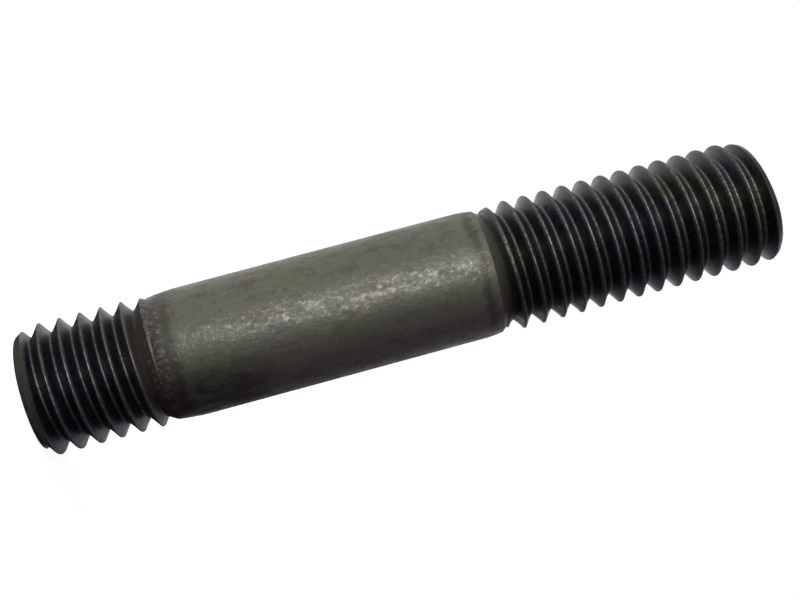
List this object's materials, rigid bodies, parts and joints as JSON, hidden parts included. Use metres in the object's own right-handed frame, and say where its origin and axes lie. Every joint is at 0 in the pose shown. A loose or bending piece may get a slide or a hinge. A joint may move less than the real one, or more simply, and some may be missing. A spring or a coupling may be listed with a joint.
{
  "type": "double ended stud",
  "caption": "Double ended stud: a round steel bar with a short screw thread at one end, a long one at the other and a plain shank between them.",
  "frame": {"origin": "centre of the end face of the short (metal) end, on which the stud stands", "axes": "+Z along the bar from the short end to the long (nut) end; +X and +Y across it, +X where a root of the short end's thread meets the end face"},
  "size_m": [0.008, 0.008, 0.0464],
  "materials": {
    "black_steel": "thin black phosphate coat, lightly oiled"
  },
  "bodies": {
    "root": {"stud": "black_steel"}
  },
  "joints": []
}
